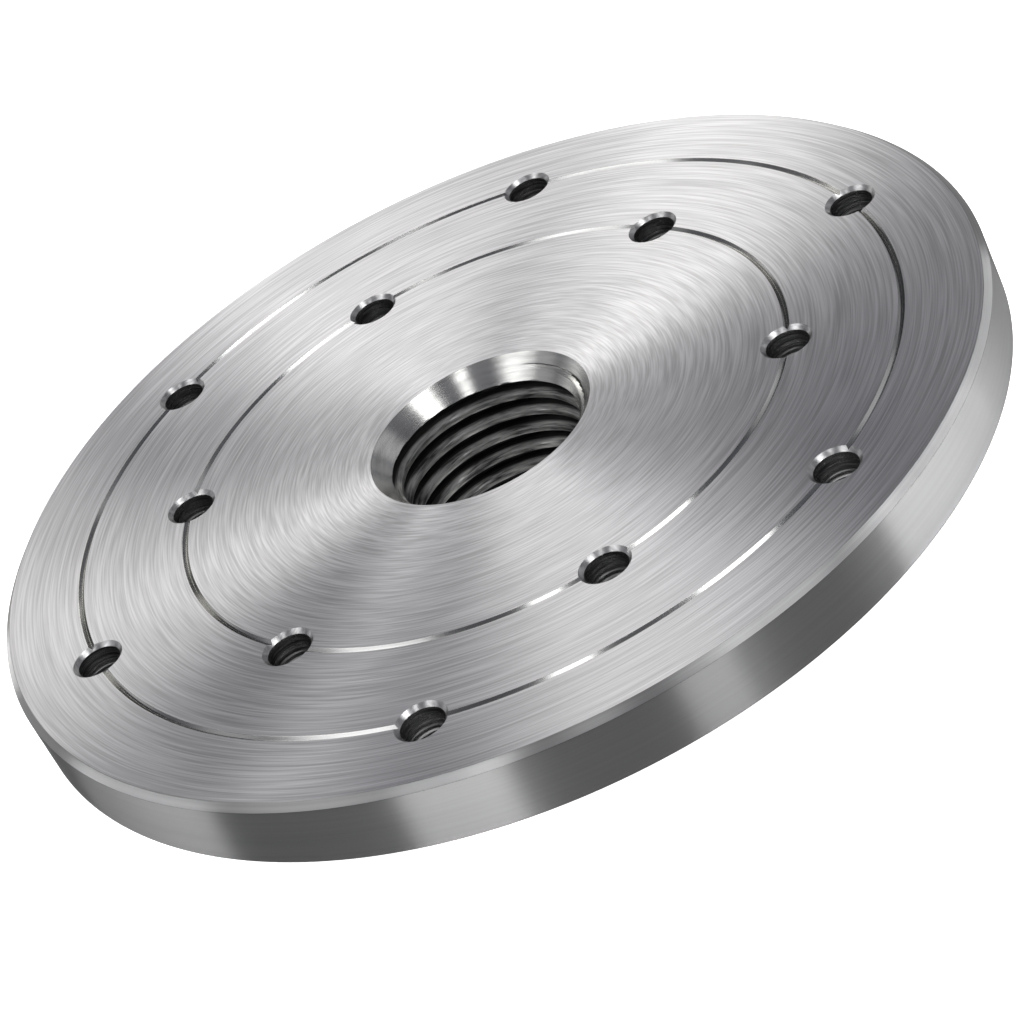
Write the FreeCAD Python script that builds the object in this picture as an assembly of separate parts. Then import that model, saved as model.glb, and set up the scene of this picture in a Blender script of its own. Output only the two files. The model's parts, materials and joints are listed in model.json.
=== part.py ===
import FreeCAD, Part
import math
import os

# A steel faceplate for a wood lathe: a flat disc on a threaded hub, turned from one piece.
# Lengths are in millimetres. +Z is the turning axis and points out of the work face.
# The origin is the centre of the hub's end face, on which the plate stands.

# The disc
DISC_R = 76.2
DISC_THICK = 10.2
FRONT_BEVEL = 1.0
BACK_EDGE_BREAK = 0.2

# The hub behind it
HUB_R = 24.0
HUB_LONG = 20.0
HUB_END_CHAMFER = 1.0
HUB_ROOT_FILLET = 2.0
WRENCH_ACROSS = 42.0
WRENCH_LONG = 12.0

# The bore: a thread of 1 1/4 inch and 8 turns to the inch, left plain at its minor radius
INCH = 25.4
THREAD_MAJOR_R = 1.25 * INCH / 2.0
THREAD_PITCH = INCH / 8.0
THREAD_HEIGHT_PER_PITCH = 0.54125
BORE_R = THREAD_MAJOR_R - THREAD_HEIGHT_PER_PITCH * THREAD_PITCH
MOUTH_R = 17.1
MOUTH_DEEP = 3.38

# The plain recess at the hub's end, which takes the unthreaded part of the spindle
RECESS_R = 16.1
RECESS_LONG = 4.0
RECESS_CHAMFER = 0.6

# The two circles of screw holes, each with a scribed line through its holes
HOLES_PER_CIRCLE = 6
OUTER_CIRCLE_R = 63.5
INNER_CIRCLE_R = 46.7
INNER_TURN_DEG = 30.0
HOLE_R = 3.25
HOLE_CHAMFER = 0.6
LINE_HALF_WIDE = 0.45
LINE_DEEP = 0.45

# How far a cutting tool stands clear of the surface it starts from
CLEAR = 1.0

FACE_Z = HUB_LONG + DISC_THICK
AXIS = FreeCAD.Vector(0, 0, 1)
CENTRE = FreeCAD.Vector(0, 0, 0)


def at(radius, height):
    """A point of the section, which is drawn in the plane y = 0."""
    return FreeCAD.Vector(radius, 0, height)


def chain(points):
    """Straight edges from each point to the next."""
    return [Part.makeLine(a, b) for a, b in zip(points[:-1], points[1:])]


def scribed_line(radius):
    """The three points of a V cut into the work face, from its outer side inwards."""
    return [
        at(radius + LINE_HALF_WIDE, FACE_Z),
        at(radius, FACE_Z - LINE_DEEP),
        at(radius - LINE_HALF_WIDE, FACE_Z),
    ]


def turned_blank():
    """The whole section on one side of the axis, turned once round it."""
    fillet_start = at(HUB_R, HUB_LONG - HUB_ROOT_FILLET)
    fillet_end = at(HUB_R + HUB_ROOT_FILLET, HUB_LONG)
    slack = HUB_ROOT_FILLET * (1.0 - math.cos(math.radians(45.0)))
    fillet_middle = at(HUB_R + slack, HUB_LONG - slack)
    first = [
        at(RECESS_R + RECESS_CHAMFER, 0.0),
        at(HUB_R - HUB_END_CHAMFER, 0.0),
        at(HUB_R, HUB_END_CHAMFER),
        fillet_start,
    ]
    lead_in = RECESS_R - BORE_R
    second = [
        fillet_end,
        at(DISC_R - BACK_EDGE_BREAK, HUB_LONG),
        at(DISC_R, HUB_LONG + BACK_EDGE_BREAK),
        at(DISC_R, FACE_Z - FRONT_BEVEL),
        at(DISC_R - FRONT_BEVEL, FACE_Z),
        *scribed_line(OUTER_CIRCLE_R),
        *scribed_line(INNER_CIRCLE_R),
        at(MOUTH_R, FACE_Z),
        at(BORE_R, FACE_Z - MOUTH_DEEP),
        at(BORE_R, RECESS_LONG + lead_in),
        at(RECESS_R, RECESS_LONG),
        at(RECESS_R, RECESS_CHAMFER),
        first[0],
    ]
    root = Part.Arc(fillet_start, fillet_middle, fillet_end).toShape()
    section = Part.Face(Part.Wire(chain(first) + [root] + chain(second)))
    return section.revolve(CENTRE, AXIS, 360.0)


def hole_cutter(radius, angle_deg):
    """A drill and the two cones that break the hole's edges, at one place on a circle."""
    tall = DISC_THICK + 2.0 * CLEAR
    wide = HOLE_R + HOLE_CHAMFER + CLEAR
    drill = Part.makeCylinder(HOLE_R, tall, at(0, HUB_LONG - CLEAR), AXIS)
    front = Part.makeCone(
        HOLE_R, wide, HOLE_CHAMFER + CLEAR, at(0, FACE_Z - HOLE_CHAMFER), AXIS
    )
    back = Part.makeCone(
        wide, HOLE_R, HOLE_CHAMFER + CLEAR, at(0, HUB_LONG - CLEAR), AXIS
    )
    cutter = drill.fuse([front, back])
    cutter.translate(at(radius, 0))
    cutter.rotate(CENTRE, AXIS, angle_deg)
    return cutter


def hole_cutters(radius, first_deg):
    """The cutters of one whole circle of holes."""
    step = 360.0 / HOLES_PER_CIRCLE
    return [hole_cutter(radius, first_deg + step * k) for k in range(HOLES_PER_CIRCLE)]


def flat_cutter(side):
    """The block that leaves a wrench flat on one side of the hub, +1 or -1 along Y."""
    wide = 2.0 * (HUB_R + CLEAR)
    deep = HUB_R - WRENCH_ACROSS / 2.0 + CLEAR
    block = Part.makeBox(wide, deep, WRENCH_LONG + CLEAR)
    inner = WRENCH_ACROSS / 2.0
    low_y = inner if side > 0 else -inner - deep
    block.translate(FreeCAD.Vector(-wide / 2.0, low_y, -CLEAR))
    return block


def build_faceplate():
    """The turned blank, drilled on both circles and milled flat on both sides of the hub."""
    tools = hole_cutters(OUTER_CIRCLE_R, 0.0)
    tools += hole_cutters(INNER_CIRCLE_R, INNER_TURN_DEG)
    tools += [flat_cutter(1), flat_cutter(-1)]
    return turned_blank().cut(tools)


os.makedirs("parts", exist_ok=True)
faceplate = build_faceplate()
faceplate.exportStep("parts/faceplate.step")
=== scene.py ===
# %% [markdown]
# # A lathe faceplate
# The object is one piece of steel: a flat disc on a short threaded hub, turned on a lathe, with two
# circles of screw holes, a scribed line through each circle and a coned mouth to the bore.
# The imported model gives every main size. This script builds the same plate again as a finer
# surface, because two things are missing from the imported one: the thread, and the small breaks
# along the edges, which catch the light on any real machined part.

# %% Load the frame
import json
import math

import bpy
import numpy as np
from mathutils import Matrix, Vector


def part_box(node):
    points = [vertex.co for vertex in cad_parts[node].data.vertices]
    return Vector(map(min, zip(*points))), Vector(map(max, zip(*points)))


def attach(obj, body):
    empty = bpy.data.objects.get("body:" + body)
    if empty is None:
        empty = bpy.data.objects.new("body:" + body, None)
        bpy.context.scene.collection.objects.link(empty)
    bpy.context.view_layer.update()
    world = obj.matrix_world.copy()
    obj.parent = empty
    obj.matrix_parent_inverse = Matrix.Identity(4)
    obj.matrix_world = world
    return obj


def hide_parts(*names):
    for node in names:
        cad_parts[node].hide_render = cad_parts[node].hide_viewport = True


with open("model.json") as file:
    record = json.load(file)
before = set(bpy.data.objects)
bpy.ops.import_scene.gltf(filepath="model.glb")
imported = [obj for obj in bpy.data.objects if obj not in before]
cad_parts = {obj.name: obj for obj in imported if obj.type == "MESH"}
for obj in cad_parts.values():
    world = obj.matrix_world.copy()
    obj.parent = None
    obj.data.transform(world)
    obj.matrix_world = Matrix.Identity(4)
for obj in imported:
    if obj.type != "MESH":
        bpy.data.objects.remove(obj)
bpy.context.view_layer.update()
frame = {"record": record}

# %% [markdown]
# ## Sizes
# The disc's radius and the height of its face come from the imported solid's box, and the holes,
# the bore and the recess from the interfaces in its record. What the record doesn't hold, such as
# the bevel or the hub's flats, repeats the model's own values. Lengths are in metres.

# %% Read the sizes
MM = 0.001
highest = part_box("faceplate")[1]
DISC_R = highest.x
FACE_Z = highest.z
MOUNTS = {mount["name"]: mount for mount in frame["record"]["mounts"]}
BORE_R = MOUNTS["spindle_thread"]["dims"]["r_mm"] * MM
RECESS_R = MOUNTS["hub_recess"]["dims"]["r_mm"] * MM
OUTER_CIRCLE_R = MOUNTS["outer_screw_holes"]["dims"]["pcd_mm"] * MM / 2
INNER_CIRCLE_R = MOUNTS["inner_screw_holes"]["dims"]["pcd_mm"] * MM / 2
HOLES_PER_CIRCLE = MOUNTS["outer_screw_holes"]["dims"]["count"]
HOLE_R = MOUNTS["outer_screw_holes"]["dims"]["hole_r_mm"] * MM

DISC_THICK = 10.2 * MM
HUB_R = 24.0 * MM
HUB_TOP_Z = FACE_Z - DISC_THICK
HUB_END_CHAMFER = 1.0 * MM
HUB_ROOT_FILLET = 2.0 * MM
WRENCH_HALF = 21.0 * MM
WRENCH_LONG = 12.0 * MM
BEVEL = 1.0 * MM
BACK_BREAK = 0.2 * MM
MOUTH_R = 17.1 * MM
MOUTH_DEEP = 3.38 * MM
RECESS_LONG = 4.0 * MM
RECESS_CHAMFER = 0.6 * MM
LINE_HALF = 0.45 * MM
LINE_DEEP = 0.45 * MM
HOLE_BREAK = 0.6 * MM
INNER_TURN = math.radians(30.0)
print("disc radius", DISC_R, "face height", FACE_Z, "bore radius", BORE_R)

# %% [markdown]
# ## The section
# A turned part is one outline carried round an axis, so the outline comes first. It could be drawn
# as a curve and spun with a modifier, but the bore also needs a thread, whose radius changes with
# the angle, so the outline stays a plain array of radius and height that a later step can alter.
# Each corner of the outline is rounded by a small arc. One guard point stands close before each arc
# and one close behind it, so that the shading of the flats beside it stays flat.

# %% Round the corners of an outline
EDGE_ROUND = 0.12 * MM
LINE_ROUND = 0.04 * MM
ARC_STEPS = 3
CORNER_ROWS = ARC_STEPS + 3
GUARD = 0.6


def rounded_corner(before, corner, after, radius):
    """The points that replace one corner.

    The arc of the given radius touches both sides at a distance of radius * tan(half the turn)
    from the corner. Each of its points is the arc's centre plus the radius along a direction that
    swings evenly from one side's normal to the other's. A guard point stands GUARD radii before the
    arc and another as far behind it, so each corner gives CORNER_ROWS points.
    """
    arrive = (corner - before) / np.linalg.norm(corner - before)
    leave = (after - corner) / np.linalg.norm(after - corner)
    turn = math.atan2(arrive[0] * leave[1] - arrive[1] * leave[0], arrive @ leave)
    reach = radius * abs(math.tan(turn / 2))
    side = math.copysign(1.0, turn)
    start = corner - arrive * reach
    normal = side * np.array([-arrive[1], arrive[0]])
    centre = start + normal * radius
    swing = np.linspace(0.0, turn, ARC_STEPS + 1)
    spoke = -normal
    arc = centre + radius * np.stack(
        [
            spoke[0] * np.cos(swing) - spoke[1] * np.sin(swing),
            spoke[0] * np.sin(swing) + spoke[1] * np.cos(swing),
        ],
        axis=1,
    )
    return np.vstack([start - arrive * GUARD * radius, arc, arc[-1] + leave * GUARD * radius])


def rounded_outline(corners, radius=EDGE_ROUND):
    """An open outline with every inner corner rounded; its two ends stay as they are."""
    points = np.asarray(corners, float)
    middle = [
        rounded_corner(points[k - 1], points[k], points[k + 1], radius)
        for k in range(1, len(points) - 1)
    ]
    return np.vstack([points[:1], *middle, points[-1:]])


print("points in each rounded corner:", CORNER_ROWS)

# %% [markdown]
# The outline is cut into stretches, one for each finish: the hub and the back of the disc, the rim,
# the bevel, the work face, the two scribed lines, the bore's coned mouth and its thread. Each
# stretch begins where the one before it ends, and the last one ends where the first began, so the
# surface is closed. The fillet, the scribed lines and the flats of the face have a rule each.

# %% Points of the fillet, the scribed lines and the face
FINISHES = ["back", "rim", "bevel", "face", "line", "mouth", "thread"]
FILLET_STEPS = 8
FACE_STEPS = 4
INNER_FACE_STEPS = 8
LINE_REACH = 2 * LINE_HALF


def fillet_points():
    """The quarter round between hub and disc: its centre plus the radius at evenly spaced angles."""
    swing = np.linspace(math.pi, math.pi / 2, FILLET_STEPS + 1)
    centre = np.array([HUB_R + HUB_ROOT_FILLET, HUB_TOP_Z - HUB_ROOT_FILLET])
    return centre + HUB_ROOT_FILLET * np.stack([np.cos(swing), np.sin(swing)], axis=1)


def line_stretches(radius):
    """A scribed line as three stretches: its outer guard point, its rounded V, its inner guard point."""
    corners = [
        [radius + LINE_REACH, FACE_Z],
        [radius + LINE_HALF, FACE_Z],
        [radius, FACE_Z - LINE_DEEP],
        [radius - LINE_HALF, FACE_Z],
        [radius - LINE_REACH, FACE_Z],
    ]
    points = rounded_outline(corners, LINE_ROUND)
    return [("face", points[1:2]), ("line", points[2:-2]), ("face", points[-2:-1])]


def face_points(outer, inner, steps):
    """A flat stretch of the work face, from a larger radius to a smaller one in even steps."""
    radii = np.linspace(outer, inner, steps + 1)
    return np.stack([radii, np.full_like(radii, FACE_Z)], axis=1)


print("points in one scribed line:", sum(len(points) for name, points in line_stretches(OUTER_CIRCLE_R)))

# %% [markdown]
# The other outlines are written as plain corners, as on a drawing, and rounded as a whole. The list
# of stretches then takes its rows out of them, because a rounded corner belongs to the finish on
# one side of it. It leaves out the first or the last point of an outline that another one shares.
# FLAT_RING is the width of the flat that is kept beside both mouths of the bore.

# %% Lay out the stretches of the outline
FLAT_RING = 1.0 * MM
BORE_TOP_Z = FACE_Z - MOUTH_DEEP
BORE_LOW_Z = RECESS_LONG + RECESS_R - BORE_R
bevel_inner = DISC_R - BEVEL
face_outer = bevel_inner - 2 * EDGE_ROUND
face_inner = MOUTH_R + FLAT_RING
rim_start = [DISC_R, HUB_TOP_Z + 2 * BACK_BREAK]
back_start = [RECESS_R + RECESS_CHAMFER + FLAT_RING, 0.0]
hub_side = rounded_outline(
    [
        back_start,
        [HUB_R - HUB_END_CHAMFER, 0.0],
        [HUB_R, HUB_END_CHAMFER],
        [HUB_R, HUB_TOP_Z - HUB_ROOT_FILLET],
    ]
)
disc_back = rounded_outline(
    [
        [HUB_R + HUB_ROOT_FILLET, HUB_TOP_Z],
        [DISC_R - BACK_BREAK, HUB_TOP_Z],
        [DISC_R, HUB_TOP_Z + BACK_BREAK],
        rim_start,
    ]
)
rim_side = rounded_outline(
    [
        rim_start,
        [DISC_R, FACE_Z - BEVEL],
        [bevel_inner, FACE_Z],
        [face_outer, FACE_Z],
    ]
)
mouth_wall = rounded_outline(
    [
        [face_inner, FACE_Z],
        [MOUTH_R, FACE_Z],
        [BORE_R, BORE_TOP_Z],
    ]
)[:-1]
recess_side = rounded_outline(
    [
        [RECESS_R, RECESS_LONG],
        [RECESS_R, RECESS_CHAMFER],
        [RECESS_R + RECESS_CHAMFER, 0.0],
        back_start,
    ]
)
stretches = [
    ("back", np.vstack([hub_side, fillet_points()[1:-1], disc_back[: CORNER_ROWS - 1]])),
    ("rim", np.vstack([disc_back[CORNER_ROWS - 1 :], rim_side[1:CORNER_ROWS]])),
    ("bevel", rim_side[CORNER_ROWS : 2 * CORNER_ROWS]),
    ("face", rim_side[2 * CORNER_ROWS :]),
    ("face", face_points(face_outer, OUTER_CIRCLE_R + LINE_REACH, FACE_STEPS)[1:]),
    *line_stretches(OUTER_CIRCLE_R),
    ("face", face_points(OUTER_CIRCLE_R - LINE_REACH, INNER_CIRCLE_R + LINE_REACH, FACE_STEPS)),
    *line_stretches(INNER_CIRCLE_R),
    ("face", face_points(INNER_CIRCLE_R - LINE_REACH, face_inner, INNER_FACE_STEPS)),
    ("face", mouth_wall[1:-2]),
    ("mouth", mouth_wall[-2:]),
]
print("stretches so far:", [(name, len(points)) for name, points in stretches])

# %% [markdown]
# ## The thread
# The spindle thread is a 60 degree one of 1 1/4 inch and 8 turns to the inch, right-handed. It
# could be a helical sweep cut out of the bore with a boolean, but such a cutter is slow and leaves
# slivers where it runs out. Here the thread is a rule for the bore's radius at any height and
# angle, and the wall takes the larger of that radius and the plain outline's. So the thread fades
# by itself into the cone at its mouth and into the cone at the recess, as it does when it is cut.
# Where it cuts the mouth's cone it leaves a curved edge that the light catches, so the rows of the
# wall lie close together there and wider apart further down.

# %% Work out the bore's radius
INCH = 25.4 * MM
THREAD_MAJOR_R = 1.25 * INCH / 2
THREAD_PITCH = INCH / 8
ROOT_HALF = THREAD_PITCH / 16
THREAD_DEEP = THREAD_MAJOR_R - BORE_R
FLANK_TALL = THREAD_DEEP * math.tan(math.radians(30.0))
CORNER_SOFT = 0.06
THREAD_START = 0.98
MOUTH_STEP = 0.10 * MM
BORE_STEP = 0.17 * MM
MOUTH_RUN = 0.6 * MM
TURN_STEPS = 256


def soft_ramp(value, soft):
    """Value held between 0 and 1, with its two corners rounded.

    It is the difference of two soft hinges, each (x + sqrt(x * x + soft * soft)) / 2, one that
    starts to rise at 0 and one that starts at 1.
    """
    rise = (value + np.sqrt(value * value + soft * soft)) / 2
    stop = (value - 1 + np.sqrt((value - 1) ** 2 + soft * soft)) / 2
    return np.clip(rise - stop, 0.0, 1.0)


def thread_radius(height, angle):
    """The threaded wall's radius.

    The turn is height / pitch - angle / full circle - start, and its fraction tells how far the
    point is from the middle of the nearest root. From the root the radius falls along a straight
    flank, tan(30 degrees) up for each step in, to the crest, which is at the bore's own radius.
    """
    turn = height / THREAD_PITCH - angle / (2 * math.pi) - THREAD_START
    from_root = np.abs(turn - np.round(turn)) * THREAD_PITCH
    flank = 1 - (from_root - ROOT_HALF) / FLANK_TALL
    return BORE_R + THREAD_DEEP * soft_ramp(flank, CORNER_SOFT)


def plain_radius(height):
    """The bore's radius without its thread: mouth cone, straight wall, recess cone."""
    mouth_slope = (MOUTH_R - BORE_R) / MOUTH_DEEP
    mouth = BORE_R + (height - BORE_TOP_Z) * mouth_slope
    recess = BORE_R + (BORE_LOW_Z - height)
    return np.maximum(np.maximum(mouth, recess), BORE_R)


angles = np.linspace(0.0, 2 * math.pi, TURN_STEPS, endpoint=False)
bore_top = mouth_wall[-1][1]
mouth_low = BORE_TOP_Z - MOUTH_RUN
mouth_rows = int((bore_top - mouth_low) / MOUTH_STEP)
bore_rows = int((mouth_low - RECESS_LONG) / BORE_STEP)
mouth_heights = np.linspace(bore_top, mouth_low, mouth_rows + 1)[1:]
bore_heights = np.linspace(mouth_low, RECESS_LONG, bore_rows + 1)[1:]
bore_heights = np.concatenate([mouth_heights, bore_heights])
print("pitch", THREAD_PITCH, "rows in the mouth and the bore", mouth_rows, bore_rows)

# %% [markdown]
# ## One closed surface
# The whole outline is now an array of radii and heights, one row for each point of the outline and
# one column for each angle. Only the rows of the bore differ from column to column. Both ends of
# the grid join up, the last row with the first and the last column with the first, so the surface
# has the shape of a ring and needs no caps.

# %% Stack the rows and close the grid
def level_rows(points, columns):
    """Radii and heights of rows whose radius is the same at every angle."""
    radii = np.repeat(points[:, :1], columns, axis=1)
    heights = np.repeat(points[:, 1:], columns, axis=1)
    return radii, heights


def bore_rows_at(heights):
    """Rows of the bore: at each height and angle, the larger of the plain and the threaded radius."""
    grid_height = np.repeat(heights[:, None], TURN_STEPS, axis=1)
    grid_angle = np.repeat(angles[None, :], len(heights), axis=0)
    threaded = thread_radius(grid_height, grid_angle)
    return np.maximum(plain_radius(grid_height), threaded), grid_height


def ring_faces(rows, columns):
    """Corner numbers of every quad of a grid that is closed both ways, turned so that it faces out."""
    row = np.arange(rows)[:, None]
    column = np.arange(columns)[None, :]
    next_row = (row + 1) % rows
    next_column = (column + 1) % columns
    corners = [
        row * columns + column,
        row * columns + next_column,
        next_row * columns + next_column,
        next_row * columns + column,
    ]
    return np.stack([np.broadcast_to(c, (rows, columns)) for c in corners], axis=-1).reshape(-1, 4)


def mesh_from_arrays(name, points, quads, finish=None):
    """A mesh object from an array of points and an array of quads, filled in whole with foreach_set."""
    mesh = bpy.data.meshes.new(name)
    mesh.vertices.add(len(points))
    mesh.vertices.foreach_set("co", points.astype(np.float32).ravel())
    mesh.loops.add(quads.size)
    mesh.loops.foreach_set("vertex_index", quads.astype(np.int32).ravel())
    mesh.polygons.add(len(quads))
    mesh.polygons.foreach_set("loop_start", np.arange(0, quads.size, 4, dtype=np.int32))
    if finish is not None:
        mesh.polygons.foreach_set("material_index", finish.astype(np.int32))
    mesh.update(calc_edges=True)
    mesh.validate()
    piece = bpy.data.objects.new(name, mesh)
    bpy.context.collection.objects.link(piece)
    return piece


def round_the_axis(radii, heights):
    """Points at radius * (cos, sin) of evenly spaced angles, each row at its own height."""
    swing = np.linspace(0.0, 2 * math.pi, radii.shape[1], endpoint=False)[None, :]
    return np.stack([radii * np.cos(swing), radii * np.sin(swing), heights], axis=-1).reshape(-1, 3)


blocks = [(name, *level_rows(points, TURN_STEPS)) for name, points in stretches]
blocks.append(("thread", *bore_rows_at(bore_heights)))
blocks.append(("back", *level_rows(recess_side[1:-1], TURN_STEPS)))
grid_radii = np.vstack([radii for name, radii, heights in blocks])
grid_heights = np.vstack([heights for name, radii, heights in blocks])
row_finish = [np.full(len(radii), FINISHES.index(name)) for name, radii, heights in blocks]
row_finish = np.concatenate(row_finish)
print("rows", len(grid_radii), "columns", TURN_STEPS)

# %% [markdown]
# A quad lies between its own row and the next, so it takes the finish of the row that it runs to.
# In the bore the rows above the straight wall belong to the bright mouth cone wherever the thread
# hasn't cut more than a little way into it.

# %% Give each quad its finish and make the mesh
SHALLOW_CUT = 0.3 * MM
rows = len(grid_radii)
points = round_the_axis(grid_radii, grid_heights)
quads = ring_faces(rows, TURN_STEPS)
finish = np.repeat(np.roll(row_finish, -1), TURN_STEPS)
middle = points[quads].mean(axis=1)
middle_angle = np.arctan2(middle[:, 1], middle[:, 0])
uncut = plain_radius(middle[:, 2]) + SHALLOW_CUT > thread_radius(middle[:, 2], middle_angle)
in_bore = finish == FINISHES.index("thread")
finish[in_bore & uncut & (middle[:, 2] > BORE_TOP_Z)] = FINISHES.index("mouth")
blank = mesh_from_arrays("faceplate_turned", points, quads, finish)
print("turned blank:", len(points), "points,", len(quads), "quads")

# %% [markdown]
# ## The screw holes and the hub's flats
# The holes could be modelled into the grid, but a round hole never falls on the grid's own lines.
# They are drilled instead: each cutter is a small outline of its own, carried round its own axis,
# with a cone at both ends for the broken edges and faint rings where the drill has chattered. All
# the drills are joined into one mesh, so that a single boolean modifier takes them away together.

# %% Shape one drill
HOLE_COLUMNS = 40
DRILL_RINGS = 50
CHATTER = 0.04 * MM
FAST_RIPPLE = 66.0
SLOW_RIPPLE = 7.0
RIPPLE_START = 0.6
CLEAR = 1.0 * MM


def drill_outline():
    """The cutter's outline, from its wide lower end to its wide upper end.

    Between the two cones the radius is the hole's own plus a ripple: a fast sine of the height
    times a slow one, so that the rings aren't equally deep, times a half sine that ends them
    at both cones.
    """
    heights = np.linspace(HUB_TOP_Z + HOLE_BREAK, FACE_Z - HOLE_BREAK, DRILL_RINGS)
    run = (heights - heights[0]) / (heights[-1] - heights[0])
    ripple = np.sin(FAST_RIPPLE * run) * np.sin(SLOW_RIPPLE * run + RIPPLE_START) * np.sin(math.pi * run)
    wall = np.stack([HOLE_R + CHATTER * ripple, heights], axis=1)
    wide = HOLE_R + HOLE_BREAK + CLEAR
    return np.vstack([[[wide, HUB_TOP_Z - CLEAR]], wall, [[wide, FACE_Z + CLEAR]]])


def drill_faces(rows):
    """The drill's quads from each row to the next, and a many-sided cap at each end."""
    quads = ring_faces(rows, HOLE_COLUMNS)[: (rows - 1) * HOLE_COLUMNS]
    ring = np.arange(HOLE_COLUMNS)
    bottom = ring[::-1]
    top = ring + (rows - 1) * HOLE_COLUMNS
    return quads.tolist() + [bottom.tolist(), top.tolist()]


drill_shape = drill_outline()
one_drill = round_the_axis(*level_rows(drill_shape, HOLE_COLUMNS))
one_drill_faces = drill_faces(len(drill_shape))
print("points in one drill:", len(one_drill), "faces:", len(one_drill_faces))

# %% [markdown]
# The drills stand on their circles at even angles, the inner circle half a step round from the
# outer one. Each wrench flat is milled by a block beside the hub. All the drills become one mesh
# and both blocks another.

# %% Helpers that place and join the cutters
def hole_centres():
    """The centres of all the holes: radius * (cos, sin) of even steps round each circle."""
    step = 2 * math.pi / HOLES_PER_CIRCLE
    turn = np.arange(HOLES_PER_CIRCLE) * step
    circles = [(OUTER_CIRCLE_R, turn), (INNER_CIRCLE_R, turn + INNER_TURN)]
    return np.vstack([radius * np.stack([np.cos(t), np.sin(t)], axis=1) for radius, t in circles])


def block_between(corner, opposite):
    """The eight corners and six faces of an upright block."""
    square = np.array([[0, 0], [1, 0], [1, 1], [0, 1]])
    bottom = np.column_stack([square, np.zeros(4)])
    top = np.column_stack([square, np.ones(4)])
    places = np.where(np.vstack([bottom, top]) == 1, opposite, corner)
    faces = [[3, 2, 1, 0], [4, 5, 6, 7], [0, 1, 5, 4], [1, 2, 6, 5], [2, 3, 7, 6], [3, 0, 4, 7]]
    return places, faces


def cutter_from(parts, name, finish=None):
    """One mesh object from several closed shapes, each given as its points and its faces.

    The finish, if there is one, numbers the material of each face of one shape, and is repeated
    for all of them.
    """
    points, faces, first = [], [], 0
    for part_points, part_faces in parts:
        points.append(part_points)
        faces += [[first + corner for corner in face] for face in part_faces]
        first += len(part_points)
    mesh = bpy.data.meshes.new(name)
    mesh.from_pydata(np.vstack(points).tolist(), [], faces)
    if finish is not None:
        mesh.polygons.foreach_set("material_index", np.tile(finish, len(parts)).astype(np.int32))
    piece = bpy.data.objects.new(name, mesh)
    bpy.context.collection.objects.link(piece)
    return piece


print("hole centres:", len(hole_centres()))

# %% [markdown]
# A drill's walls get one finish and its two cones another, the bright one of a broken edge. A
# drill's faces begin with the lower cone, go up the wall to the upper cone and end with the two
# caps, and their finishes are listed in the same order.

# %% Place the drills and the milling blocks
DRILL_FINISHES = ["drilled", "broken_edge"]
drills = [(one_drill + np.array([x, y, 0.0]), one_drill_faces) for x, y in hole_centres()]
reach = HUB_R + CLEAR
milling_blocks = [
    block_between([-reach, WRENCH_HALF, -CLEAR], [reach, reach, WRENCH_LONG]),
    block_between([-reach, -reach, -CLEAR], [reach, -WRENCH_HALF, WRENCH_LONG]),
]
wall_quads = (len(drill_shape) - 3) * HOLE_COLUMNS
cone_finish = np.full(HOLE_COLUMNS, DRILL_FINISHES.index("broken_edge"))
wall_finish = np.full(wall_quads, DRILL_FINISHES.index("drilled"))
cap_finish = np.full(2, DRILL_FINISHES.index("drilled"))
drill_finish = np.concatenate([cone_finish, wall_finish, cone_finish, cap_finish])
drill_cutter = cutter_from(drills, "drills", drill_finish)
flat_cutter = cutter_from(milling_blocks, "milling_blocks")
print("holes", len(drills), "milling blocks", len(milling_blocks))

# %% [markdown]
# The exact solver gives clean edges where a drill runs through the two lips of a scribed line, and
# it can hand the cutter's own material on to the wall that it leaves. The result is baked into a
# plain mesh, so nothing is left to work out later. The materials are still empty here: they only
# need their names, so that each face keeps its finish through the cuts. Edges that turn by more
# than SHARP_EDGE stay sharp, and all others are shaded as rounded.

# %% Cut the blank
SHARP_EDGE = math.radians(34.0)


def cut_away(target, cutter):
    """Takes the cutter away from the target with an exact boolean, and deletes the cutter."""
    step = target.modifiers.new(cutter.name, "BOOLEAN")
    step.operation = "DIFFERENCE"
    step.solver = "EXACT"
    step.material_mode = "TRANSFER"
    step.object = cutter
    view = bpy.context.evaluated_depsgraph_get()
    cut = bpy.data.meshes.new_from_object(target.evaluated_get(view))
    target.modifiers.clear()
    target.data = cut
    bpy.data.objects.remove(cutter)


steels = {name: bpy.data.materials.new(name + "_steel") for name in FINISHES + DRILL_FINISHES}
for name in FINISHES:
    blank.data.materials.append(steels[name])
for name in DRILL_FINISHES:
    drill_cutter.data.materials.append(steels[name])
flat_cutter.data.materials.append(steels["back"])
cut_away(blank, drill_cutter)
cut_away(blank, flat_cutter)
blank.data.polygons.foreach_set("use_smooth", np.ones(len(blank.data.polygons), dtype=bool))
blank.data.set_sharp_from_angle(angle=SHARP_EDGE)
print("after cutting:", len(blank.data.vertices), "points,", len(blank.data.polygons), "faces")
print("finishes on the mesh:", [slot.name for slot in blank.data.materials])

# %% [markdown]
# ## Finishes
# The plate is bare steel all over, but each surface was left by a different tool. The face and the
# back are turned and rubbed with abrasive cloth while they spin, so they are full of long thin
# rings. The rim, the bevel and the mouth are turned finer and shine. The thread and the drilled
# holes are rough and dark. All of them can be one node recipe with different numbers: a metal whose
# scratches run round the axis, which spreads its highlights across the scratches. A recipe has
# many nodes, so a few short helpers come first, and each of them adds one node.

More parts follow.
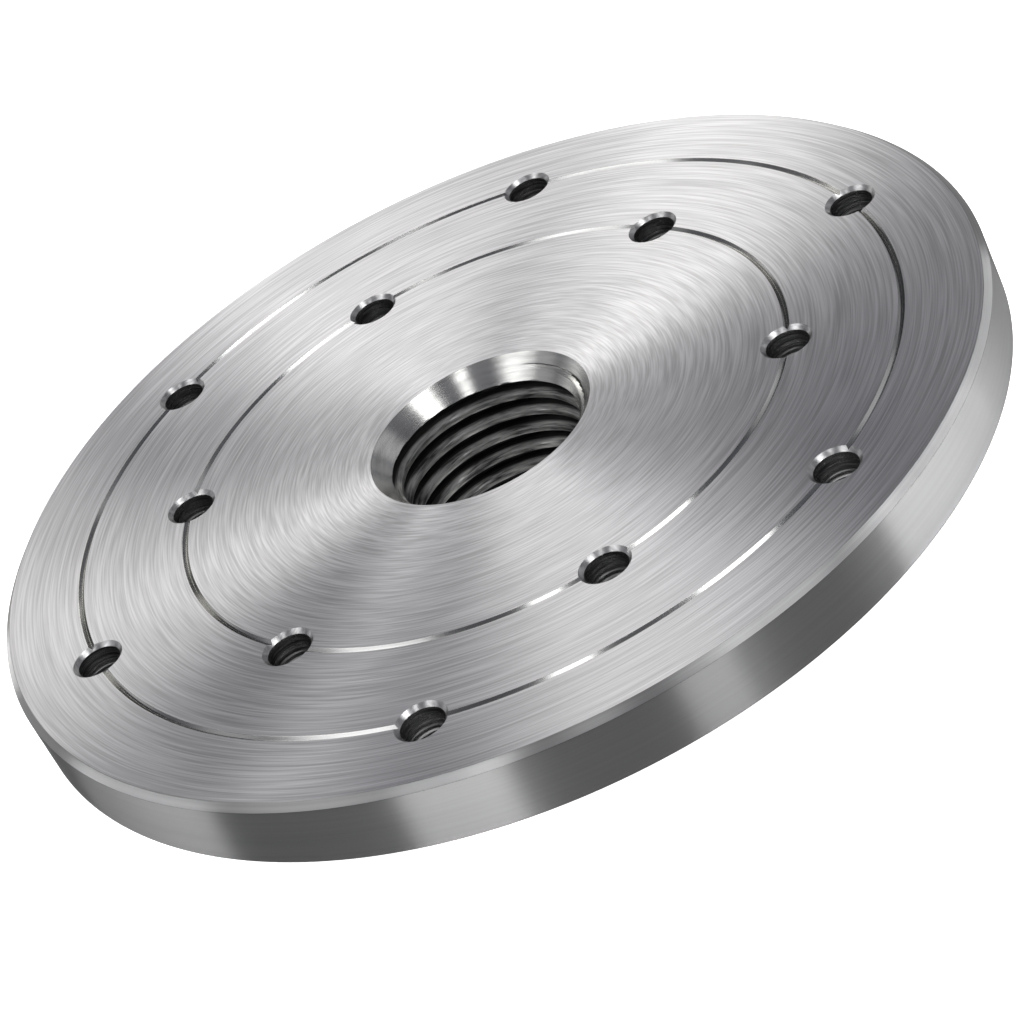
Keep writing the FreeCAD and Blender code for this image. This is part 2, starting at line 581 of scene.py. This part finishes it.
# %% Node helpers
def add_node(tree, kind, inputs=None, **settings):
    """A new node, with its settings, and its inputs given as values or as sockets to link."""
    node = tree.nodes.new(kind)
    for key, value in settings.items():
        setattr(node, key, value)
    for key, value in (inputs or {}).items():
        if isinstance(value, bpy.types.NodeSocket):
            tree.links.new(value, node.inputs[key])
        else:
            node.inputs[key].default_value = value
    return node


def maths(tree, operation, first, second=0.0, third=0.0):
    """The result of one Math node."""
    node = add_node(tree, "ShaderNodeMath", {0: first, 1: second, 2: third}, operation=operation)
    return node.outputs["Value"]


def vector_maths(tree, operation, first, second=(0.0, 0.0, 0.0)):
    """The vector result of one Vector Math node."""
    node = add_node(tree, "ShaderNodeVectorMath", {0: first, 1: second}, operation=operation)
    return node.outputs["Vector"]


def scaled(tree, vector, factor):
    """A vector times a number."""
    node = add_node(tree, "ShaderNodeVectorMath", {0: vector, "Scale": factor}, operation="SCALE")
    return node.outputs["Vector"]


def ramp(tree, value, low, high, to_low=0.0, to_high=1.0):
    """A value moved from one range to another and held inside it."""
    node = add_node(
        tree,
        "ShaderNodeMapRange",
        {"Value": value, "From Min": low, "From Max": high, "To Min": to_low, "To Max": to_high},
    )
    return node.outputs["Result"]


print("materials waiting for their nodes:", len(steels))

# %% [markdown]
# The scratches are noise that is stretched round the plate. An image of scratches would show its
# seams, and it would have to be wrapped round every cone. Noise needs only a place for each point,
# which is worked out from the Object coordinates: the direction from the axis, times a small
# number, gives the slow change round the plate, and the distance across the scratches, times a
# large number, gives the fast change.

# %% Scratches that run round the axis
def ring_frame(tree, radial, upward):
    """Where a point lies for the scratches: its direction from the axis and its place across them.

    The place across is radial * distance from the axis + upward * height, in metres, so one pair
    of numbers suits a flat face, another a rim and another a cone.
    """
    place = add_node(tree, "ShaderNodeTexCoord").outputs["Object"]
    parts = add_node(tree, "ShaderNodeSeparateXYZ", {0: place}).outputs
    flat = add_node(tree, "ShaderNodeCombineXYZ", {"X": parts["X"], "Y": parts["Y"]})
    flat = flat.outputs["Vector"]
    distance = add_node(tree, "ShaderNodeVectorMath", {0: flat}, operation="LENGTH")
    distance = distance.outputs["Value"]
    direction = vector_maths(tree, "NORMALIZE", flat)
    rise = maths(tree, "MULTIPLY", parts["Z"], upward)
    across = maths(tree, "MULTIPLY_ADD", distance, radial, rise)
    around = vector_maths(tree, "CROSS_PRODUCT", (0.0, 0.0, 1.0), direction)
    return {"direction": direction, "across": across, "around": around, "distance": distance}


def ring_noise(tree, ring, width, arcs, shift, detail):
    """Noise whose streaks are about as wide as the given width and as many round the plate as arcs.

    Its place is direction * arcs + upwards * (place across / width + shift). The shift keeps one
    layer of noise from repeating another, and detail adds finer noise on top.
    """
    fast = maths(tree, "MULTIPLY_ADD", ring["across"], 1.0 / width, shift)
    fast = add_node(tree, "ShaderNodeCombineXYZ", {"Z": fast}).outputs["Vector"]
    place = vector_maths(tree, "ADD", scaled(tree, ring["direction"], arcs), fast)
    settings = {"Vector": place, "Scale": 1.0, "Detail": detail, "Roughness": 0.5}
    return add_node(tree, "ShaderNodeTexNoise", settings).outputs["Fac"]


print("finishes that get rings:", sorted(steels))

# %% [markdown]
# In the recipe itself three layers of rings, coarse, middle and fine, are weighed by their shares
# and added into one pattern. The same pattern is the height for the bump, the blend between the
# steel's two colours and, a little, the roughness, because a deeper scratch holds more dark and
# scatters more. The two colours meet inside a narrow range of the pattern, so the scratches stay
# crisp. Constants such as the metal's share go straight onto the shader's own sockets.

# %% The recipe for ringed steel
LAYER_SHIFTS = (3.0, 17.0, 41.0)
LAYER_DETAILS = (0.0, 0.0, 1.0)
SHADE_RANGE = (0.35, 0.65)
# The share of the colour that the painted shade in the thread's roots leaves at its darkest.
PAINTED_SHADE_FLOOR = 0.05
ACROSS_THE_RINGS = 0.25


def ringed_steel(
    material,
    colour,
    dark,
    roughness,
    spread,
    radial,
    upward,
    widths,
    arcs,
    relief,
    shares=(0.15, 0.45, 0.4),
    wear=0.1,
    metal=1.0,
    edge=1.0,
    painted_root_shade=None,
):
    """Fills a material with metal whose rings run round the axis.

    colour and dark are the steel between and in the scratches, spread is the anisotropy, widths are
    the ring widths of the three layers, arcs how many streaks fit round the plate, relief the depth
    of the bump and shares how much each layer counts. wear is how far the roughness changes with
    the pattern: the roughness is roughness * (1 - wear / 2 + wear * shade). metal is 1 for bare
    steel and less where oil and swarf dull it. edge is how bright the steel gets at a grazing
    view. The last argument gives two distances from the axis, between which the colour is painted
    darker, almost to black, as painted shade in the thread's roots.
    """
    material.use_nodes = True
    tree = material.node_tree
    tree.nodes.clear()
    ring = ring_frame(tree, radial, upward)
    coarse, middle, fine = (
        ring_noise(tree, ring, *layer) for layer in zip(widths, arcs, LAYER_SHIFTS, LAYER_DETAILS)
    )
    lines = maths(tree, "MULTIPLY", coarse, shares[0])
    lines = maths(tree, "MULTIPLY_ADD", middle, shares[1], lines)
    lines = maths(tree, "MULTIPLY_ADD", fine, shares[2], lines)
    shade = ramp(tree, lines, *SHADE_RANGE)
    mix = add_node(tree, "ShaderNodeMix", {"Factor": shade}, data_type="RGBA")
    for socket, value in zip([s for s in mix.inputs if s.type == "RGBA"], (colour, dark)):
        socket.default_value = (*value, 1.0)
    tint = next(s for s in mix.outputs if s.type == "RGBA")
    # Painted shade: between two distances from the axis the colour darkens almost to black, for the
    # shade in the thread's roots.
    if painted_root_shade is not None:
        tint = scaled(tree, tint, ramp(tree, ring["distance"], *painted_root_shade, 1.0, PAINTED_SHADE_FLOOR))
    rough = maths(tree, "MULTIPLY_ADD", shade, roughness * wear, roughness * (1 - wear / 2))
    bump = add_node(tree, "ShaderNodeBump", {"Strength": 1.0, "Distance": relief, "Height": lines})
    shader = add_node(
        tree,
        "ShaderNodeBsdfPrincipled",
        {
            "Base Color": tint,
            "Metallic": metal,
            "Specular Tint": (edge, edge, edge, 1.0),
            "Roughness": rough,
            "Anisotropic": spread,
            "Anisotropic Rotation": ACROSS_THE_RINGS,
            "Tangent": ring["around"],
            "Normal": bump.outputs["Normal"],
        },
    )
    add_node(tree, "ShaderNodeOutputMaterial", {"Surface": shader.outputs["BSDF"]})
    print("filled", material.name, "with", len(tree.nodes), "nodes")


# %% [markdown]
# The face is what the eye sees first: pale steel rubbed with cloth, whose rings spread each lamp
# into a wide bright sector. The scribed lines were cut last by a sharp tool, so their walls are
# smooth, and they take a low edge value because light that bounces between the two walls of so
# narrow a groove would otherwise sparkle.

# %% Finish the face and the scribed lines
ringed_steel(
    steels["face"],
    colour=(0.77, 0.77, 0.80),
    dark=(0.505, 0.505, 0.53),
    roughness=0.39,
    spread=0.93,
    radial=1.0,
    upward=0.0,
    widths=(1.0 * MM, 0.45 * MM, 0.24 * MM),
    arcs=(1.5, 3.0, 5.0),
    relief=0.0025 * MM,
    shares=(0.05, 0.30, 0.65),
    wear=-0.08,
)
ringed_steel(
    steels["line"],
    colour=(0.62, 0.62, 0.61),
    dark=(0.44, 0.44, 0.43),
    roughness=0.17,
    spread=0.5,
    radial=1.0,
    upward=0.0,
    widths=(1.0 * MM, 0.6 * MM, 0.4 * MM),
    arcs=(2.0, 4.0, 6.0),
    relief=0.0002 * MM,
    edge=0.35,
)

# %% [markdown]
# The rim and the bevel are turned so fine that no ring is seen alone, only bands of light and dark
# that run up and down. Such a band is a lamp's reflection stretched by a strong spread. The rim
# takes a dark colour, because it stands among bright cards of light close to the floor.

# %% Finish the rim and the bevel
ringed_steel(
    steels["rim"],
    colour=(0.092, 0.092, 0.092),
    dark=(0.084, 0.084, 0.084),
    roughness=0.37,
    spread=0.97,
    radial=0.3,
    upward=1.0,
    widths=(2.0 * MM, 0.6 * MM, 0.2 * MM),
    arcs=(0.5, 1.0, 2.0),
    relief=0.0003 * MM,
    wear=0.01,
    edge=0.32,
)
ringed_steel(
    steels["bevel"],
    colour=(0.40, 0.40, 0.40),
    dark=(0.35, 0.35, 0.35),
    roughness=0.38,
    spread=0.98,
    radial=1.0,
    upward=-1.0,
    widths=(1.2 * MM, 0.5 * MM, 0.2 * MM),
    arcs=(0.5, 1.0, 2.0),
    relief=0.0003 * MM,
    wear=0.02,
    edge=0.6,
)

# %% [markdown]
# The mouth is the brightest part, a polished cone with a warm tinge. The thread below it is the
# darkest. A tap or a boring tool leaves its flanks torn, so it is only half a metal, and its colour
# is painted darker from the crest outwards, almost to black in the roots, as painted shade.

# %% Finish the mouth and the thread
ringed_steel(
    steels["mouth"],
    colour=(0.76, 0.76, 0.735),
    dark=(0.62, 0.62, 0.60),
    roughness=0.25,
    spread=0.75,
    radial=0.7,
    upward=0.7,
    widths=(1.5 * MM, 0.7 * MM, 0.35 * MM),
    arcs=(1.0, 3.0, 5.0),
    relief=0.0002 * MM,
)
ringed_steel(
    steels["thread"],
    colour=(0.60, 0.60, 0.58),
    dark=(0.05, 0.05, 0.05),
    roughness=0.40,
    spread=0.6,
    radial=0.6,
    upward=0.8,
    widths=(1.6 * MM, 0.4 * MM, 0.16 * MM),
    arcs=(2.5, 4.0, 8.0),
    relief=0.01 * MM,
    shares=(0.4, 0.3, 0.3),
    wear=0.3,
    metal=0.5,
    # painted shade: the colour darkens from the crest out to the roots
    painted_root_shade=(BORE_R + 0.6 * MM, BORE_R + 1.0 * MM),
)

# %% [markdown]
# The hub and the back of the disc are turned faster and coarser, and they stand in the plate's own
# shade, so their colour is painted dark as shade where the cards near the floor shine on them. The
# drilled walls are torn and grimy. The broken edges of the holes are small bright cones, whose
# chatter marks run down the slope, so their streaks are many round the axis.

# %% Finish the back and the holes
# The back's dark colour is painted shade.
ringed_steel(
    steels["back"],
    colour=(0.16, 0.16, 0.165),
    dark=(0.10, 0.10, 0.105),
    roughness=0.42,
    spread=0.88,
    radial=1.0,
    upward=1.0,
    widths=(2.4 * MM, 0.9 * MM, 0.3 * MM),
    arcs=(1.0, 2.0, 3.0),
    relief=0.006 * MM,
    edge=0.4,
)
ringed_steel(
    steels["drilled"],
    colour=(0.28, 0.28, 0.28),
    dark=(0.05, 0.05, 0.05),
    roughness=0.28,
    spread=0.0,
    radial=0.0,
    upward=1.0,
    widths=(0.9 * MM, 0.4 * MM, 0.15 * MM),
    arcs=(12.0, 16.0, 24.0),
    relief=0.02 * MM,
    wear=0.4,
    metal=0.8,
)
ringed_steel(
    steels["broken_edge"],
    colour=(0.66, 0.66, 0.66),
    dark=(0.40, 0.40, 0.40),
    roughness=0.30,
    spread=0.0,
    radial=0.4,
    upward=1.0,
    widths=(0.9 * MM, 0.4 * MM, 0.15 * MM),
    arcs=(60.0, 90.0, 120.0),
    relief=0.002 * MM,
)

# %% Tell the frame what the piece is
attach(blank, "root")
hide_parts("faceplate")

# %% [markdown]
# ## Floor
# The plate stands on its hub on a plain pale floor. A white floor could be had with more light, but
# that would wash out the steel. Here the floor itself glows almost white, but only towards the
# camera and in reflections. Its pale paint adds the rest, so the floor still darkens a little
# where the plate keeps the light off.

# %% Make the floor
FLOOR_HALF = 6.0
FLOOR_GLOW = 0.93
FLOOR_PAINT = 0.82
floor = mesh_from_arrays(
    "floor",
    np.array([[-1, -1, 0], [1, -1, 0], [1, 1, 0], [-1, 1, 0]], float) * FLOOR_HALF,
    np.array([[0, 1, 2, 3]]),
)
floor_material = bpy.data.materials.new("pale_floor")
floor_material.use_nodes = True
tree = floor_material.node_tree
tree.nodes.clear()
rays = add_node(tree, "ShaderNodeLightPath").outputs
seen = maths(tree, "ADD", rays["Is Camera Ray"], rays["Is Glossy Ray"])
seen = maths(tree, "ADD", seen, rays["Is Transmission Ray"])
seen = maths(tree, "MINIMUM", seen, 1.0)
strength = maths(tree, "MULTIPLY", seen, FLOOR_GLOW)
glow = add_node(tree, "ShaderNodeEmission", {"Color": (1, 1, 1, 1), "Strength": strength})
paint = add_node(tree, "ShaderNodeBsdfDiffuse", {"Color": (*[FLOOR_PAINT] * 3, 1)})
both = add_node(tree, "ShaderNodeAddShader", {0: glow.outputs[0], 1: paint.outputs[0]})
add_node(tree, "ShaderNodeOutputMaterial", {"Surface": both.outputs[0]})
floor.data.materials.append(floor_material)
print("floor is", 2 * FLOOR_HALF, "metres wide")

# %% [markdown]
# ## Light
# Turned steel only shows its rings and its fan of bright and dark sectors when it has something
# bright and something dim to reflect. So the room itself is dim and slightly blue, and soft lamps
# stand round the plate. A lamp is given by what it does to a mirror: where it hangs, how large it
# is and how bright it looks, so a lamp that is moved or resized keeps the strength of its highlight.

# %% A lamp that faces the plate
NEUTRAL = (1.0, 1.0, 1.0)
WARM = (1.0, 0.985, 0.93)
FAR = 1.2


def soft_lamp(name, heading, elevation, distance, wide, tall, brightness, colour=NEUTRAL):
    """A flat lamp that faces the middle of the work face.

    Its heading is in degrees from +X towards +Y, and its lengths are in metres. Brightness is what
    a mirror would show of it, so the power is pi * wide * tall * brightness.
    """
    lamp = bpy.data.lights.new(name, "AREA")
    lamp.shape = "RECTANGLE"
    lamp.size = wide
    lamp.size_y = tall
    lamp.energy = math.pi * wide * tall * brightness
    lamp.color = colour
    holder = bpy.data.objects.new(name, lamp)
    bpy.context.collection.objects.link(holder)
    a, e = math.radians(heading), math.radians(elevation)
    place = Vector((math.cos(e) * math.cos(a), math.cos(e) * math.sin(a), math.sin(e))) * distance
    holder.location = Vector((0, 0, FACE_Z)) + place
    holder.rotation_euler = place.to_track_quat("Z", "Y").to_euler()
    holder.visible_camera = False


# %% [markdown]
# The six warm lamps behind the plate make the bright sectors of its face. The low lamps in front
# light the bevel. The panels high above the front are what the mouth's cone and the scribed lines
# reflect, and the glows at the sides soften the steps between their bands.

# %% Hang the lamps for the face, the bevel and the mouth
soft_lamp("back_close", 80.0, 35.0, 0.15, 0.064, 0.064, 1.22, WARM)
soft_lamp("back_left", 108.0, 27.0, 0.30, 0.075, 0.075, 2.35, WARM)
soft_lamp("back_right", 63.0, 20.0, 0.30, 0.060, 0.060, 3.2, WARM)
soft_lamp("back_low", 70.0, 15.0, FAR, 0.21, 0.21, 3.0, WARM)
soft_lamp("back_high", 80.0, 55.0, FAR, 0.21, 0.21, 7.2, WARM)
soft_lamp("left_high", 130.0, 55.0, FAR, 0.21, 0.21, 4.56, WARM)
soft_lamp("low_front_left", 236.0, 5.0, FAR, 0.17, 0.17, 26.0)
soft_lamp("low_front", 286.0, 5.0, FAR, 0.12, 0.17, 34.0)
soft_lamp("low_right", 320.0, 5.0, FAR, 0.25, 0.17, 18.0)
soft_lamp("panel_left", 184.0, 46.0, FAR, 0.64, 0.48, 1.7)
soft_lamp("panel_middle", 254.0, 55.0, FAR, 0.18, 0.34, 3.2)
soft_lamp("panel_right", 310.0, 53.0, FAR, 0.34, 0.44, 4.0)
soft_lamp("panel_right_high", 328.0, 57.0, FAR, 0.16, 0.12, 3.5)
soft_lamp("glow_left", 158.0, 28.0, FAR, 0.46, 0.26, 0.35)
soft_lamp("glow_right", 8.0, 26.0, FAR, 0.62, 0.30, 0.42)
soft_lamp("low_glow_left", 130.0, 8.0, FAR, 0.9, 0.22, 0.6)
soft_lamp("low_glow_right", 24.0, 9.0, FAR, 0.6, 0.24, 0.2)
print("lamps so far:", len(bpy.data.lights))

# %% [markdown]
# The rim is upright, so it reflects what stands low around it. Six small cards of light close to
# it, just above the floor, give it its bright bands, and the gaps between them the dark ones.

# %% Set the cards round the rim and dim the room
ROOM_TINT = (0.89, 0.89, 1.0, 1)
ROOM_BRIGHTNESS = 0.14
soft_lamp("card_back_left", 142.0, -10.0, 0.125, 0.020, 0.016, 14.0)
soft_lamp("card_left", 181.0, -9.5, 0.130, 0.072, 0.016, 19.0)
soft_lamp("card_front_left", 235.5, -9.0, 0.140, 0.040, 0.016, 25.0)
soft_lamp("card_front", 274.5, -9.0, 0.140, 0.021, 0.016, 20.0)
soft_lamp("card_right", 323.5, -9.5, 0.135, 0.070, 0.016, 34.0)
soft_lamp("card_back_right", 350.0, -10.5, 0.120, 0.064, 0.016, 23.0)
world = bpy.data.worlds.new("dim_room")
bpy.context.scene.world = world
world.use_nodes = True
room = world.node_tree.nodes["Background"].inputs
room["Color"].default_value = ROOM_TINT
room["Strength"].default_value = ROOM_BRIGHTNESS
print("lamps and cards:", len(bpy.data.lights))

# %% [markdown]
# ## Camera
# The photograph looks down on the plate from the front with a long lens, and the camera is rolled,
# so that the plate seems to lean. The camera could be turned with three angles, but it is plainer
# to say what it aims at, from where, and how far it leans, and to build its three axes from that.
# The Standard view shows colours as they are written and keeps the floor white.

# %% Place the camera
CAMERA_AZIMUTH = math.radians(-7.55)
CAMERA_ELEVATION = math.radians(32.40)
CAMERA_DISTANCE = 452.2 * MM
CAMERA_ROLL = math.radians(-27.47)
CAMERA_AIM = Vector((-4.71 * MM, -24.0 * MM, FACE_Z))
CAMERA_LENS = 116.05

towards = Vector(
    (
        math.cos(CAMERA_ELEVATION) * math.sin(CAMERA_AZIMUTH),
        -math.cos(CAMERA_ELEVATION) * math.cos(CAMERA_AZIMUTH),
        math.sin(CAMERA_ELEVATION),
    )
)
level = Vector((0, 0, 1)).cross(towards).normalized()
raised = towards.cross(level)
right = level * math.cos(CAMERA_ROLL) + raised * math.sin(CAMERA_ROLL)
upright = raised * math.cos(CAMERA_ROLL) - level * math.sin(CAMERA_ROLL)
eye = CAMERA_AIM + towards * CAMERA_DISTANCE
camera_data = bpy.data.cameras.new("camera")
camera_data.lens = CAMERA_LENS
camera = bpy.data.objects.new("camera", camera_data)
bpy.context.collection.objects.link(camera)
axes = Matrix((right, upright, towards)).transposed()
camera.matrix_world = Matrix.Translation(eye) @ axes.to_4x4()
bpy.context.scene.camera = camera
bpy.context.scene.view_settings.view_transform = "Standard"
print("camera at", tuple(eye))
